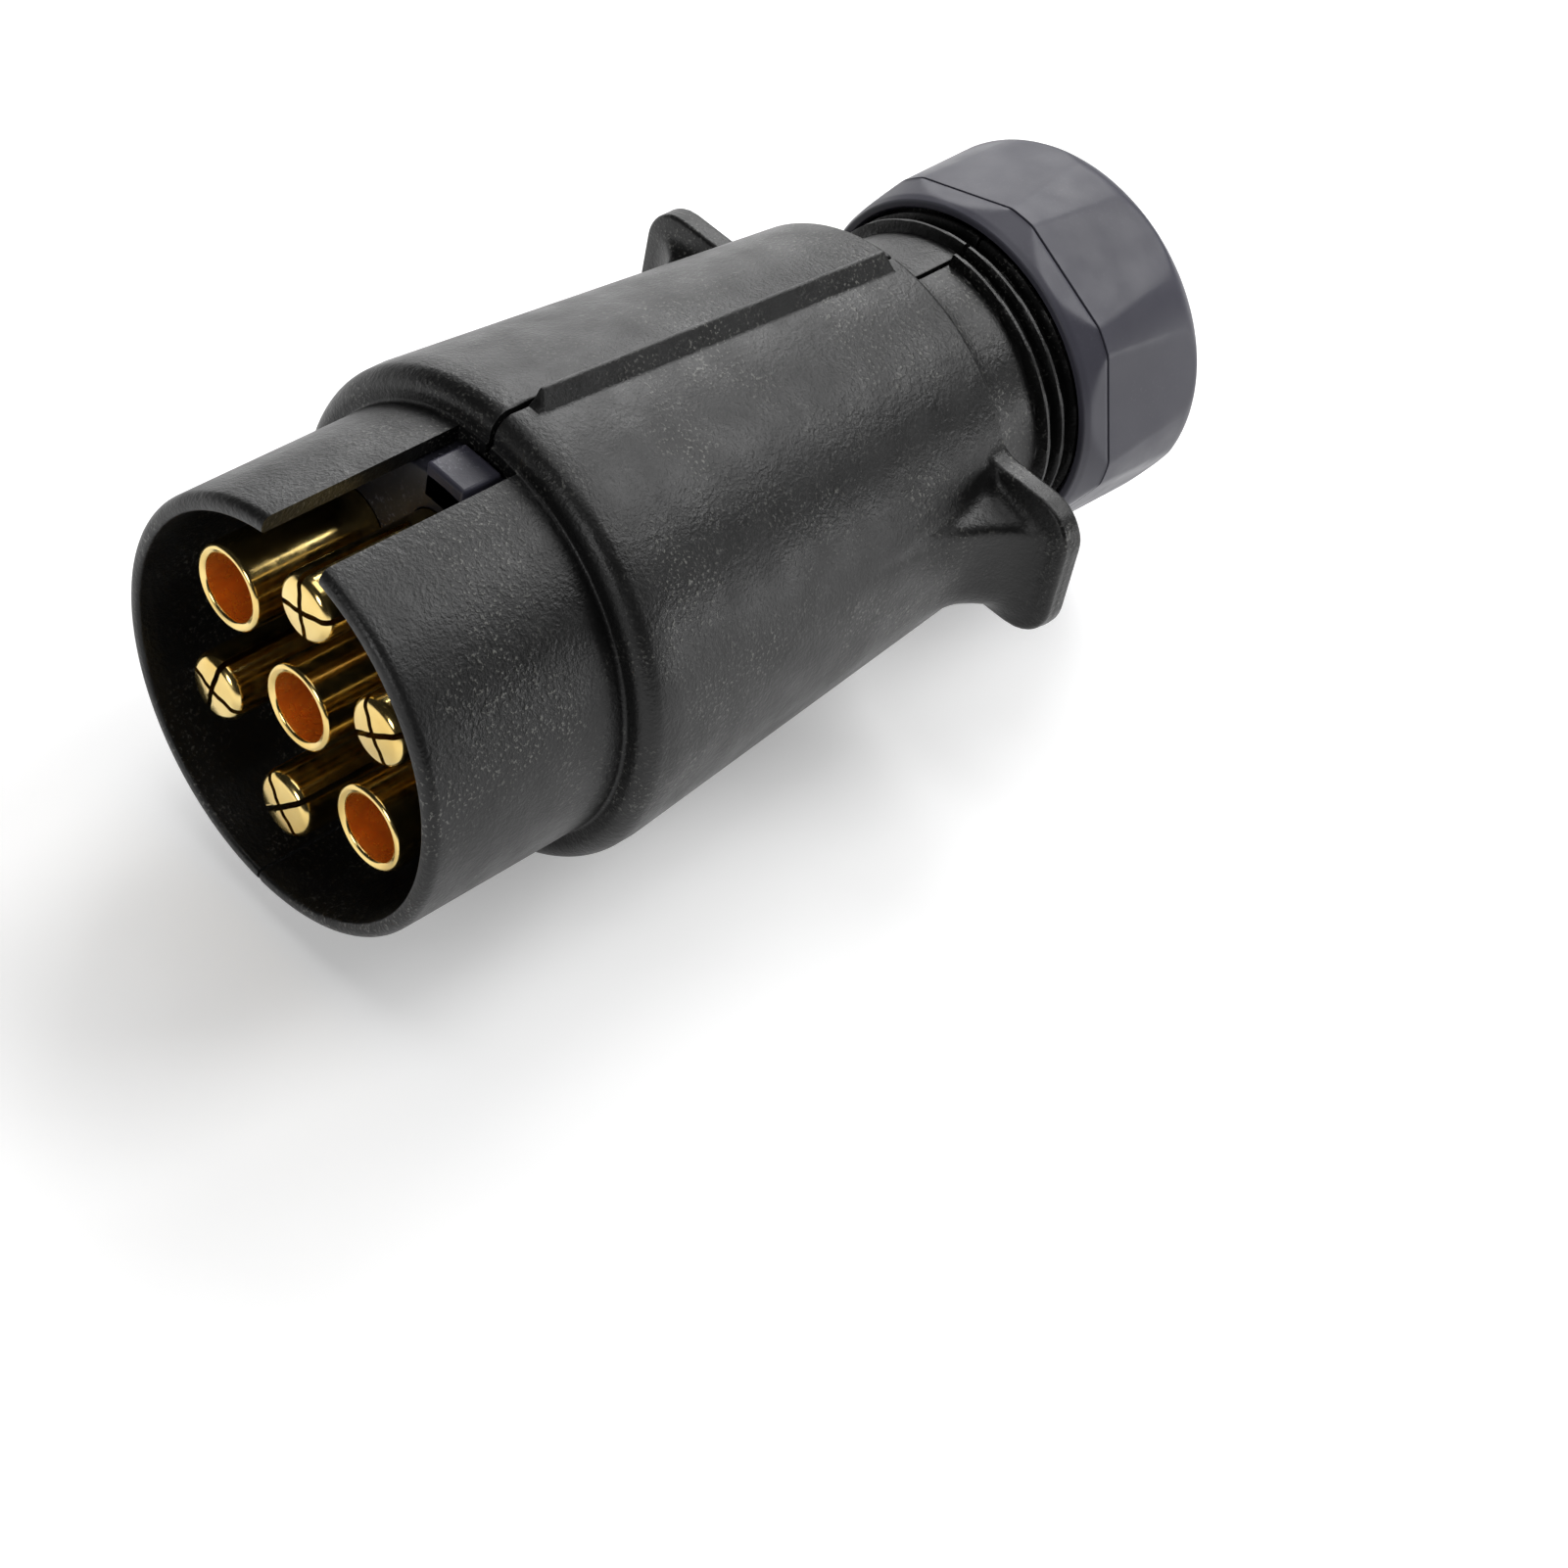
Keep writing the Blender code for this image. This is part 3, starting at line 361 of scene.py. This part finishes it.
# ---- nut, washer and grommet ---------------------------------------------------------------------
def nut_columns():
    """Directions round the nut, closer together where its flats meet its turned corners."""
    half = math.pi / NUT_SIDES
    corner = math.acos(NUT_APOTHEM / NUT_CORNER_R)
    fine = [corner + d * 0.004 for d in (-9, -6, -4, -2.5, -1, 0, 1, 2.5, 4, 6, 9)]
    one_side = sorted(list(np.linspace(0, corner - 0.05, 9)) + fine
                      + list(np.linspace(corner + 0.05, half, 4)))
    flat = [-a for a in one_side[:0:-1]] + one_side[:-1]
    return np.array([a + 2 * half * n for n in range(NUT_SIDES) for a in flat])


def make_nut():
    """The gland nut. A row's kind: 0 plain, 1 cut by the flats, 2 the groove, 3 the thread."""
    from_flat = nut_columns()
    angle = NUT_TURN + from_flat
    half = math.pi / NUT_SIDES
    folded = (from_flat + half) % (2 * half) - half
    flat_r = NUT_APOTHEM / np.cos(folded)
    rows = [(16.65, NUT_Y, 0)]
    rows += [(r, y, 1) for r, y in arc((17.1, NUT_Y + 0.3), 0.3, -90, -10, 5)]
    rows += [(17.4 + (y - NUT_Y) / NUT_CHAMFER_LENGTH * 1.1, y, 1)
             for y in spaced(NUT_Y + 0.5, NUT_Y + 2.95, 0.35)]
    rows += [(NUT_CORNER_R - d, NUT_Y + y, 2) for d, y in
             ((0.02, 3.0), (0.05, 3.04), (NUT_GROOVE_DEPTH, 3.08), (NUT_GROOVE_DEPTH, 3.22),
              (0.05, 3.26), (0.0, 3.3))]
    rows += [(NUT_CORNER_R, y, 1) for y in spaced(NUT_Y + 3.6, NUT_REAR_Y - 3.2, 0.8)]
    centre = (NUT_CORNER_R - NUT_REAR_ROUND, NUT_REAR_Y - NUT_REAR_ROUND)
    rows += [(r, y, 1) for r, y in arc(centre, NUT_REAR_ROUND, 0, 90, 16)]
    rows += [(r, y, 0) for r, y in arc((NUT_OPENING_R + 0.6, NUT_REAR_Y - 0.6), 0.6, 90, 180, 5)]
    rows += [(NUT_OPENING_R, NUT_INNER_END_Y, 0), (NUT_CHAMBER_R, NUT_INNER_END_Y, 0),
             (NUT_CHAMBER_R, 92.6, 0)]
    rows += [(NUT_BORE_R, y, 3) for y in spaced(92.5, NUT_Y + 1.4, 0.12)]
    rows += [(NUT_BORE_R, NUT_Y + 1.28, 0), (NUT_BORE_R, NUT_Y + 0.3, 0)]
    turn = (math.pi / 2 - angle) % (2 * math.pi)
    points = []
    for base_r, y, kind in rows:
        r = np.full(len(angle), base_r)
        if kind in (1, 2):
            groove = NUT_CORNER_R - base_r if kind == 2 else 0.0
            draft = NUT_FLAT_DRAFT * max(0.0, y - NUT_Y - 3.3)
            r = soft_min(r, flat_r + draft - groove, 0.12)
        if kind == 3:
            r = r - ridge_height(turn, y, THREAD_MIDDLE + THREAD_PITCH * 2.5)
        points.append(np.column_stack((r * np.cos(angle), np.full(len(angle), y), r * np.sin(angle))))
    faces = grid_faces(len(rows), len(angle), True, True)
    return make_object("gland_nut", np.concatenate(points), faces, "gland_nut", "gland_nut", 28)


def make_ring():
    """The pressure washer, with rounded edges."""
    edge = 0.3
    inner_r, outer_r = RING_BORE_R + edge, RING_R - edge
    front_y, rear_y = RING_Y + edge, RING_REAR_Y - edge
    outline = [*arc((inner_r, front_y), edge, 180, 270, 4), *arc((outer_r, front_y), edge, -90, 0, 4),
               *arc((outer_r, rear_y), edge, 0, 90, 4), *arc((inner_r, rear_y), edge, 90, 180, 4)]
    return turned("pressure_ring", outline, "gland_slide")


def make_grommet():
    """The rubber seal: coned at its nose, with three grooves in its bore."""
    bore_r, nose_y = GROMMET_BORE_R, GROMMET_Y + 0.3
    outline = [*arc((bore_r + 0.3, nose_y), 0.3, 180, 270, 3), *arc((9.5, nose_y), 0.3, -90, -30, 3),
               *arc((GROMMET_R - 0.4, 85.3), 0.4, -25, 0, 3),
               *arc((GROMMET_R - 0.4, GROMMET_REAR_Y - 0.4), 0.4, 0, 90, 4),
               (6.0, GROMMET_REAR_Y), (5.6, 93.2), (bore_r, 92.6)]
    for groove_y in (91.0, 88.5, 86.0):
        outline += [(bore_r, groove_y + 0.5), (bore_r + 0.35, groove_y + 0.2),
                    (bore_r + 0.35, groove_y - 0.2), (bore_r, groove_y - 0.5)]
    return turned("cable_grommet", outline, "gland_slide", steps=72)


# ---- carrier, contacts and screws -------------------------------------------------------------------
def contact_places():
    """(name, x, z, outward angle in degrees, slit turn) of all seven contacts."""
    places = [("tube_contact_centre", 0.0, 0.0, 90, None)]
    for number, angle in enumerate(TUBE_ANGLES, start=1):
        places.append((f"tube_contact_{number}", *polar(angle, CONTACT_RING_R), angle, None))
    for number, (angle, turn) in enumerate(zip(PIN_ANGLES, PIN_SLIT_TURNS), start=1):
        places.append((f"split_pin_{number}", *polar(angle, CONTACT_RING_R), angle, turn))
    return places


def make_carrier():
    """The black insulator, with a hole for each contact."""
    outline = [(0.02, CARRIER_Y), *arc((CARRIER_R - 0.4, CARRIER_Y + 0.4), 0.4, -90, 0, 4),
               (CARRIER_R, FLANGE_Y), (FLANGE_R, FLANGE_Y), (FLANGE_R, FLANGE_END_Y),
               (18.0, FLANGE_END_Y), (18.0, CARRIER_REAR_Y), (0.02, CARRIER_REAR_Y)]
    carrier = turned("contact_carrier", outline, "plug_body", steps=96)
    cutters = []
    for name, x, z, _, turn in contact_places():
        radius = (TUBE_R if turn is None else PIN_R) + CONTACT_CLEARANCE
        cutters.append(round_cutter("hole_" + name, x, z, radius, CARRIER_Y - 1, 31.5))
    cut(carrier, *cutters)
    shade(carrier, 30)
    return carrier


def round_cutter(name, x, z, radius, start, end, steps=48):
    """A round cutter along Y, from one station to another."""
    bm = bmesh.new()
    bmesh.ops.create_cone(bm, cap_ends=True, segments=steps, radius1=radius, radius2=radius,
                          depth=end - start)
    bmesh.ops.rotate(bm, cent=(0, 0, 0), matrix=Matrix.Rotation(math.pi / 2, 3, "X"), verts=bm.verts)
    bmesh.ops.translate(bm, vec=(x, (start + end) / 2, z), verts=bm.verts)
    return loose_object(name, bm)


def make_key_block():
    """The carrier's key, which shows at the rear end of the key slot."""
    key = block("key_block", (-KEY_HALF_WIDTH, CARRIER_Y, 15.6), (KEY_HALF_WIDTH, KEY_REAR_Y, KEY_TOP))
    bevel = key.modifiers.new("edges", "BEVEL")
    bevel.width = 0.35 * MM
    bevel.segments = 3
    bevel.limit_method = "ANGLE"
    shade(key, 30)
    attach(key, "plug_body")
    return key


def screw_hole(name, place, angle):
    """A cutter for the hole that a terminal screw runs through, a little wider than its shank."""
    bm = bmesh.new()
    bmesh.ops.create_cone(bm, cap_ends=True, segments=32, radius1=SCREW_R + SCREW_CLEARANCE,
                          radius2=SCREW_R + SCREW_CLEARANCE, depth=6.0)
    bmesh.ops.translate(bm, vec=(0, 0, 3.1), verts=bm.verts)
    outwards = Matrix.Rotation(math.radians(90 - angle), 3, "Y")
    bmesh.ops.rotate(bm, cent=(0, 0, 0), matrix=outwards, verts=bm.verts)
    bmesh.ops.translate(bm, vec=place, verts=bm.verts)
    return loose_object(name, bm)


def make_contact(name, x, z, angle, turn):
    """A tube contact, or a pin split by a cross that is turned by the given degrees."""
    end = CENTRE_END_Y if name.endswith("centre") else OUTER_END_Y
    radius = TUBE_R if turn is None else PIN_R
    if turn is None:
        front = [(0.02, 17.4), (3.2, 17.4), *arc((3.5, 2.8), 0.3, 180, 250, 3),
                 *arc((3.69, 2.85), 0.45, -90, 0, 5)]
    else:
        front = [(0.02, 1.7), (0.9, 1.72), (1.6, 1.85), *arc((2.25, 2.85), 1.0, -75, 0, 7)]
    rear = [(radius, 30.4), (4.7, 30.4), (4.9, 30.6), (4.9, 31.6), (4.7, 31.8), (TERMINAL_R, 31.8),
            (TERMINAL_R, end - 0.3), (TERMINAL_R - 0.3, end), (WIRE_HOLE_R, end),
            (WIRE_HOLE_R, end - WIRE_HOLE_LENGTH), (0.02, end - WIRE_HOLE_LENGTH)]
    contact = turned(name, front + rear, "plug_body", (x, z), 64)
    cutters = [screw_hole("hole_" + name, (x, end - SCREW_BEFORE_END, z), angle)]
    if turn is not None:
        cutters += [block(f"slit_{q}", (-5, -2, -SLIT_HALF), (5, SLIT_END_Y, SLIT_HALF),
                          -math.radians(turn + q), (x, z)) for q in (0, 90)]
    cut(contact, *cutters)
    shade(contact, 30)
    return contact


def colour_bore(contact, x, z, material):
    """Painted reflection: the tubes' bores get a deeper orange than the brass outside them, standing in
    for brass reflecting brass inside each bore.
    """
    contact.data.materials.append(material)
    centre = Vector(to_world((x, 0, z)))
    for face in contact.data.polygons:
        offset = face.center - centre
        depth = offset.y / MM
        if math.hypot(offset.x, offset.z) < 3.35 * MM and 2.9 < depth < 17.6:
            face.material_index = 1


def make_screw(name, x, z, angle, centre):
    """A cheese-head screw whose axis points outwards from its contact."""
    under, top, head_r = SCREW_UNDER_HEAD, SCREW_TOP, SCREW_HEAD_R
    outline = [(0.02, SCREW_TIP), (SCREW_R - 0.15, SCREW_TIP), (SCREW_R, SCREW_TIP + 0.15),
               (SCREW_R, under), (head_r - 0.15, under), (head_r, under + 0.15),
               *arc((head_r - 0.3, top - 0.3), 0.3, 0, 80, 4), (0.02, top)]
    steps = 48
    turns = np.linspace(0, 2 * math.pi, steps, endpoint=False)
    direction = np.array((math.cos(math.radians(angle)), 0, math.sin(math.radians(angle))))
    across = np.array((-direction[2], 0, direction[0]))
    along = np.array((0.0, 1.0, 0.0))
    place = np.array((x, (CENTRE_END_Y if centre else OUTER_END_Y) - SCREW_BEFORE_END, z))
    points = [place + direction * h + r * (math.cos(t) * across + math.sin(t) * along)
              for r, h in outline for t in turns]
    faces = grid_faces(len(outline), steps, True, True)
    screw = make_object(name, points, faces, name, name)
    notch = block("notch", (-3, -SCREW_SLOT_HALF, top - SCREW_SLOT_DEPTH), (3, SCREW_SLOT_HALF, top + 1))
    spin = Matrix.Rotation(math.radians(90 - angle), 4, "Y")
    origin = Vector(to_world((0, 0, 0)))
    shift = Vector(to_world(place))
    notch.data.transform(Matrix.Translation(shift) @ spin @ Matrix.Translation(-origin))
    cut(screw, notch)
    shade(screw, 30)
    return screw


# ---- materials -----------------------------------------------------------------------------------------
def node_material(name):
    material = bpy.data.materials.new(name)
    material.use_nodes = True
    tree = material.node_tree
    place = tree.nodes.new("ShaderNodeTexCoord").outputs["Object"]
    return material, tree, tree.nodes["Principled BSDF"], place


def noise(tree, place, scale, detail=3.0, roughness=0.5, stretch=None):
    if stretch:
        mapping = tree.nodes.new("ShaderNodeMapping")
        mapping.inputs["Scale"].default_value = stretch
        tree.links.new(place, mapping.inputs["Vector"])
        place = mapping.outputs["Vector"]
    texture = tree.nodes.new("ShaderNodeTexNoise")
    texture.inputs["Scale"].default_value = scale
    texture.inputs["Detail"].default_value = detail
    texture.inputs["Roughness"].default_value = roughness
    tree.links.new(place, texture.inputs["Vector"])
    return texture.outputs["Fac"]


def ramp(tree, value, stops):
    """A colour ramp from (position, colour) stops; a number stands for a grey."""
    node = tree.nodes.new("ShaderNodeValToRGB")
    elements = node.color_ramp.elements
    while len(elements) < len(stops):
        elements.new(0.5)
    for element, (position, colour) in zip(elements, stops):
        element.position = position
        grey = isinstance(colour, float)
        element.color = (colour, colour, colour, 1) if grey else (*colour, 1)
    tree.links.new(value, node.inputs["Fac"])
    return node.outputs["Color"]


def bump(tree, layers):
    """Bump nodes one after another, from (height, strength, depth in mm) layers."""
    normal = None
    for height, strength, depth in layers:
        node = tree.nodes.new("ShaderNodeBump")
        node.inputs["Strength"].default_value = strength
        node.inputs["Distance"].default_value = depth * MM
        tree.links.new(height, node.inputs["Height"])
        if normal:
            tree.links.new(normal, node.inputs["Normal"])
        normal = node.outputs["Normal"]
    return normal


def moulded_plastic(name, dark, light, rough, grain, speck, shine=0.5):
    """Moulded plastic with a spark-eroded grain, cloudy colour, pale specks in patches, and painted shade
    that dims its shine in folds.
    """
    material, tree, shader, place = node_material(name)
    cloud = ramp(tree, noise(tree, place, 90, 4), [(0.3, dark), (0.75, light)])
    # Pale specks in patches: a fine noise masked by a coarser noise.
    specks = ramp(tree, noise(tree, place, 3000, 2, 0.6), [(0.58, 0.0), (0.68, 1.0)])
    patches = ramp(tree, noise(tree, place, 110, 3), [(0.42, 0.0), (0.64, 1.0)])
    both = tree.nodes.new("ShaderNodeMath")
    both.operation = "MULTIPLY"
    tree.links.new(specks, both.inputs[0])
    tree.links.new(patches, both.inputs[1])
    mix = tree.nodes.new("ShaderNodeMix")
    mix.data_type = "RGBA"
    tree.links.new(both.outputs[0], mix.inputs["Factor"])
    tree.links.new(cloud, mix.inputs["A"])
    mix.inputs["B"].default_value = (*speck, 1)
    tree.links.new(mix.outputs["Result"], shader.inputs["Base Color"])
    # Painted shade: ambient occlusion over 5 mm lowers the specular level in folds and creases, so they
    # look darker.
    fold = tree.nodes.new("ShaderNodeAmbientOcclusion")
    fold.inputs["Distance"].default_value = 5 * MM
    painted_fold_shade = ramp(tree, fold.outputs["AO"], [(0.45, 0.12 * shine), (0.85, shine)])
    tree.links.new(painted_fold_shade, shader.inputs["Specular IOR Level"])
    gloss = ramp(tree, noise(tree, place, 260, 4), [(0.3, rough - 0.06), (0.7, rough + 0.06)])
    tree.links.new(gloss, shader.inputs["Roughness"])
    fine = noise(tree, place, 3000, 2, 0.6)
    coarse = noise(tree, place, 1000, 3, 0.5)
    normal = bump(tree, [(coarse, grain, 0.06), (fine, grain, 0.06)])
    tree.links.new(normal, shader.inputs["Normal"])
    return material


def turned_metal(name, dark, light, rough, stretch, metallic=1.0):
    """Turned metal with fine tool marks and a slightly uneven tint."""
    material, tree, shader, place = node_material(name)
    tint = ramp(tree, noise(tree, place, 220, 4), [(0.3, dark), (0.7, light)])
    tree.links.new(tint, shader.inputs["Base Color"])
    shader.inputs["Metallic"].default_value = metallic
    gloss = ramp(tree, noise(tree, place, 900, 3), [(0.3, rough - 0.05), (0.7, rough + 0.07)])
    tree.links.new(gloss, shader.inputs["Roughness"])
    marks = noise(tree, place, 900, 2, 0.5, stretch)
    normal = bump(tree, [(marks, 0.25, 0.01)])
    tree.links.new(normal, shader.inputs["Normal"])
    return material


# ---- build --------------------------------------------------------------------------------------------
def dress(obj, material):
    """Give a piece its one material."""
    obj.data.materials.clear()
    obj.data.materials.append(material)


shell_plastic = moulded_plastic("shell_plastic", (0.004, 0.004, 0.004), (0.008, 0.008, 0.008),
                                0.40, 1.0, (0.12, 0.12, 0.11), 0.36)
nut_plastic = moulded_plastic("nut_plastic", (0.052, 0.051, 0.066), (0.064, 0.063, 0.081),
                              0.42, 0.05, (0.066, 0.065, 0.083), 0.3)
carrier_plastic = moulded_plastic("carrier_plastic", (0.008, 0.008, 0.011), (0.018, 0.018, 0.024),
                                  0.38, 0.2, (0.10, 0.10, 0.12))
key_plastic = moulded_plastic("key_plastic", (0.022, 0.022, 0.032), (0.055, 0.053, 0.072),
                              0.36, 0.3, (0.16, 0.16, 0.19), 0.25)
ring_plastic = moulded_plastic("ring_plastic", (0.40, 0.40, 0.38), (0.47, 0.47, 0.45),
                               0.45, 0.1, (0.55, 0.55, 0.53))
rubber = moulded_plastic("grommet_rubber", (0.012, 0.012, 0.012), (0.022, 0.022, 0.022),
                         0.72, 0.3, (0.05, 0.05, 0.05))
brass = turned_metal("contact_brass", (0.80, 0.56, 0.18), (0.93, 0.72, 0.30), 0.16, (1, 14, 1))
# Painted reflection: the deeper orange brass inside the tube bores stands in for the brass reflecting
# itself there.
bore_painted_reflection = turned_metal("bore_painted_reflection", (1.0, 0.46, 0.06), (1.0, 0.54, 0.10), 0.24, (1, 14, 1), 0.88)
steel = turned_metal("screw_steel", (0.55, 0.54, 0.51), (0.68, 0.67, 0.64), 0.26, (3, 3, 3))

for shell_name, shell_side in (("shell_left", -1), ("shell_right", 1)):
    dress(make_shell(shell_name, shell_side), shell_plastic)
dress(make_nut(), nut_plastic)
dress(make_ring(), ring_plastic)
dress(make_grommet(), rubber)
dress(make_carrier(), carrier_plastic)
dress(make_key_block(), key_plastic)
for contact_name, cx, cz, out_angle, slit_turn in contact_places():
    contact = make_contact(contact_name, cx, cz, out_angle, slit_turn)
    dress(contact, brass)
    if slit_turn is None:
        colour_bore(contact, cx, cz, bore_painted_reflection)
    screw_name = contact_name.replace("contact", "screw").replace("split_pin", "pin_screw")
    is_centre = contact_name.endswith("centre")
    dress(make_screw(screw_name, cx, cz, out_angle, is_centre), steel)


# ---- floor, light and camera ---------------------------------------------------------------------------
def make_floor():
    bm = bmesh.new()
    bmesh.ops.create_grid(bm, x_segments=1, y_segments=1, size=3.0)
    mesh = bpy.data.meshes.new("floor")
    bm.to_mesh(mesh)
    bm.free()
    floor = bpy.data.objects.new("floor", mesh)
    bpy.context.scene.collection.objects.link(floor)
    material, _, shader, _ = node_material("floor")
    shader.inputs["Base Color"].default_value = (0.82, 0.82, 0.82, 1)
    shader.inputs["Roughness"].default_value = 0.9
    shader.inputs["Emission Color"].default_value = (1, 1, 1, 1)
    shader.inputs["Emission Strength"].default_value = 0.34
    mesh.materials.append(material)


def add_light(name, place, target, size, watts):
    data = bpy.data.lights.new(name, "AREA")
    data.shape = "RECTANGLE"
    data.size, data.size_y = size
    data.energy = watts
    light = bpy.data.objects.new(name, data)
    light.location = place
    light.rotation_mode = "QUATERNION"
    light.rotation_quaternion = (Vector(target) - Vector(place)).to_track_quat("-Z", "Y")
    bpy.context.scene.collection.objects.link(light)


def add_world(strength):
    world = bpy.data.worlds.new("studio")
    world.use_nodes = True
    background = world.node_tree.nodes["Background"]
    background.inputs["Color"].default_value = (1, 1, 1, 1)
    background.inputs["Strength"].default_value = strength
    bpy.context.scene.world = world


def add_camera():
    """A view from the front, the right and above, slightly rolled."""
    right = Vector((0.672949, 0.725956, 0.141870))
    up = Vector((-0.563563, 0.378968, 0.734017))
    forward = Vector((-0.479100, 0.573909, -0.664148))
    place = Vector(to_world((154.616, -140.213, 214.336)))
    data = bpy.data.cameras.new("camera")
    data.sensor_width = 36.0
    data.lens = 81.34
    data.shift_x, data.shift_y = 0.0769, -0.1702
    data.clip_start, data.clip_end = 0.01, 10.0
    camera = bpy.data.objects.new("camera", data)
    turn = Matrix((right, up, -forward)).transposed()
    camera.matrix_world = Matrix.Translation(place) @ turn.to_4x4()
    bpy.context.scene.collection.objects.link(camera)
    bpy.context.scene.camera = camera


make_floor()
add_world(0.02)
add_light("back_softbox", (0.20, 0.42, 0.52), (0, 0, 0.02), (0.34, 0.34), 2.4)
add_light("back_left_softbox", (-0.28, 0.46, 0.52), (0, 0, 0.02), (0.40, 0.34), 3.2)
add_light("left_softbox", (-0.50, 0.36, 0.24), (0, 0, 0.02), (0.3, 0.4), 1.1)
add_light("overhead", (-0.05, 0.0, 0.75), (0, 0, 0.02), (0.5, 0.5), 1.6)
add_light("right_softbox", (0.48, 0.42, 0.06), (0, 0.05, 0.02), (0.2, 0.1), 0.6)
add_light("front_card", (0.10, -0.50, 0.22), (0, -0.05, 0.02), (0.14, 0.14), 0.6)
add_camera()
bpy.context.scene.view_settings.view_transform = "Standard"
